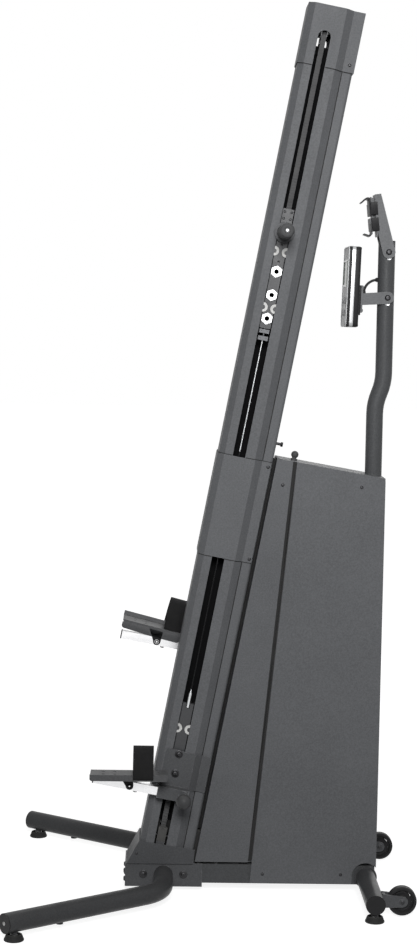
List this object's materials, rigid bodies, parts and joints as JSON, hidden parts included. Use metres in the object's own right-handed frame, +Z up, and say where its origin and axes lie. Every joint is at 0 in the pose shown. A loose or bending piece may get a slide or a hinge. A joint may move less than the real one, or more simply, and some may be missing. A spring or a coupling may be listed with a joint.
{
  "type": "vertical climber machine",
  "caption": "Vertical climber: leaning mast with two slotted tracks, counter-moving hand and foot carriages on a belt, tilting pedals, drive housing, console post and floor base.",
  "frame": {"origin": "on the floor, at the middle of the machine's outline seen from above", "axes": "+X from the user towards the drive housing, +Y towards the user's left, +Z up"},
  "size_m": [1.0595, 1.0648, 2.3613],
  "materials": {
    "powder_coat": "satin textured charcoal powder coat",
    "dark_coat": "satin dark powder coat",
    "machined_steel": "satin zinc plated",
    "bright_steel": "bright zinc plated",
    "cast_iron": "turned",
    "black_plastic": "matt",
    "grey_plastic": "satin light grey",
    "white_plastic": "matt acetal",
    "black_rubber": "matt",
    "black_aluminium": "black anodised",
    "aluminium": "satin machined",
    "webbing": "woven nylon"
  },
  "bodies": {
    "frame": {"base_rail": "dark_coat", "front_leg_bracket": "powder_coat", "front_legs": "dark_coat", "rear_crossbar": "dark_coat", "tube_end_caps": "black_plastic", "levelling_feet": "black_rubber", "wheel_forks": "dark_coat", "mast_spine": "powder_coat", "mast_core": "black_aluminium", "right_track_cover": "powder_coat", "left_track_cover": "powder_coat", "mast_cap": "powder_coat", "mid_cover": "powder_coat", "mast_foot_shroud": "powder_coat", "pulley_mounts": "dark_coat", "slot_bumpers": "black_plastic", "upper_belt": "black_rubber", "lower_belt": "black_rubber", "drive_belt": "black_rubber", "brake_frame": "dark_coat", "housing_right_panel": "powder_coat", "housing_left_panel": "powder_coat", "housing_front_panel": "powder_coat", "housing_rear_cover": "powder_coat", "frame_fasteners": "bright_steel", "console_post": "powder_coat", "console_lead": "black_rubber"},
    "right_carriage": {"right_trolley": "machined_steel", "right_rollers": "white_plastic", "right_handle_sockets": "bright_steel", "right_handgrip": "black_rubber", "right_tie_cable": "bright_steel", "right_foot_bracket": "powder_coat"},
    "right_pedal_arm": {"right_pedal_tube": "bright_steel"},
    "right_footplate": {"right_pedal": "powder_coat", "right_foot_strap": "webbing"},
    "right_plunger": {"right_pull_knob": "black_plastic"},
    "right_wheel": {"right_transport_wheel": "black_plastic"},
    "left_carriage": {"left_trolley": "machined_steel", "left_rollers": "white_plastic", "left_handle_sockets": "bright_steel", "left_handgrip": "black_rubber", "left_tie_cable": "bright_steel", "left_foot_bracket": "powder_coat"},
    "left_pedal_arm": {"left_pedal_tube": "bright_steel"},
    "left_footplate": {"left_pedal": "powder_coat", "left_foot_strap": "webbing"},
    "left_plunger": {"left_pull_knob": "black_plastic"},
    "left_wheel": {"left_transport_wheel": "black_plastic"},
    "top_pulley": {"top_pulley": "aluminium"},
    "bottom_pulley": {"bottom_pulley": "aluminium"},
    "flywheel": {"flywheel": "cast_iron"},
    "knob": {"resistance_knob": "black_plastic"},
    "console": {"console_bracket": "powder_coat", "console_back_shell": "black_plastic", "console_bezel": "grey_plastic"},
    "phone_holder": {"phone_holder_arm": "powder_coat"},
    "claw": {"phone_holder_claw": "black_plastic"}
  },
  "joints": [
    {"name": "right_carriage_slide", "type": "slide", "parent": "frame", "child": "right_carriage", "axis": [0.18, 0, 0.9837], "range_m": [-0.075, 0.44], "deforming": ["upper_belt", "lower_belt"]},
    {"name": "left_carriage_slide", "type": "slide", "parent": "frame", "child": "left_carriage", "axis": [0.18, 0, 0.9837], "range_m": [-0.44, 0.075]},
    {"name": "top_pulley_spin", "type": "hinge", "parent": "frame", "child": "top_pulley", "pos_m": [0.26116, 0, 2.298], "axis": [0.9837, 0, -0.18], "range_deg": [-638, 110]},
    {"name": "bottom_pulley_spin", "type": "hinge", "parent": "frame", "child": "bottom_pulley", "pos_m": [-0.13413, 0, 0.13787], "axis": [0.9837, 0, -0.18], "range_deg": [-638, 110]},
    {"name": "flywheel_spin", "type": "hinge", "parent": "frame", "child": "flywheel", "pos_m": [0.0382, 0, 0.28933], "axis": [0.9837, 0, -0.18], "range_deg": [-852, 148]},
    {"name": "right_pedal_tube_slide", "type": "slide", "parent": "right_carriage", "child": "right_pedal_arm", "axis": [-0.9837, 0, 0.18], "range_m": [0, 0.05]},
    {"name": "right_pedal_tilt", "type": "hinge", "parent": "right_pedal_arm", "child": "right_footplate", "pos_m": [-0.21885, -0.0885, 0.2957], "axis": [0, 1, 0], "range_deg": [0, 16]},
    {"name": "right_plunger_pull", "type": "slide", "parent": "right_carriage", "child": "right_plunger", "axis": [0, -1, 0], "range_m": [0, 0.008], "stiffness_N_per_m": 1500},
    {"name": "right_wheel_spin", "type": "hinge", "parent": "frame", "child": "right_wheel", "pos_m": [0.491, -0.27, 0.045], "axis": [0, 1, 0], "continuous": true},
    {"name": "left_pedal_tube_slide", "type": "slide", "parent": "left_carriage", "child": "left_pedal_arm", "axis": [-0.9837, 0, 0.18], "range_m": [0, 0.05]},
    {"name": "left_pedal_tilt", "type": "hinge", "parent": "left_pedal_arm", "child": "left_footplate", "pos_m": [-0.15315, 0.0885, 0.65474], "axis": [0, 1, 0], "range_deg": [-14, 2]},
    {"name": "left_plunger_pull", "type": "slide", "parent": "left_carriage", "child": "left_plunger", "axis": [0, 1, 0], "range_m": [0, 0.008], "stiffness_N_per_m": 1500},
    {"name": "left_wheel_spin", "type": "hinge", "parent": "frame", "child": "left_wheel", "pos_m": [0.491, 0.27, 0.045], "axis": [0, 1, 0], "continuous": true},
    {"name": "resistance_knob_turn", "type": "hinge", "parent": "frame", "child": "knob", "pos_m": [0.205, 0, 1.1619], "axis": [0.1676, 0, 0.9859], "range_deg": [0, 270]},
    {"name": "console_tilt", "type": "hinge", "parent": "frame", "child": "console", "pos_m": [0.443, 0, 1.598], "axis": [0, 1, 0], "range_deg": [-20, 8], "deforming": ["console_lead"]},
    {"name": "phone_holder_tilt", "type": "hinge", "parent": "frame", "child": "phone_holder", "pos_m": [0.4435, 0, 1.7185], "axis": [0, 1, 0], "range_deg": [-8, 40]},
    {"name": "claw_slide", "type": "slide", "parent": "phone_holder", "child": "claw", "axis": [-0.1045, 0, 0.9945], "range_m": [0, 0.03], "stiffness_N_per_m": 250}
  ],
  "couplings": [
    {"joint": "left_carriage_slide", "follows": "right_carriage_slide", "ratio": -1},
    {"joint": "top_pulley_spin", "follows": "right_carriage_slide", "rad_per_m": -25.126},
    {"joint": "bottom_pulley_spin", "follows": "right_carriage_slide", "rad_per_m": -25.126},
    {"joint": "flywheel_spin", "follows": "right_carriage_slide", "rad_per_m": -33.595}
  ]
}
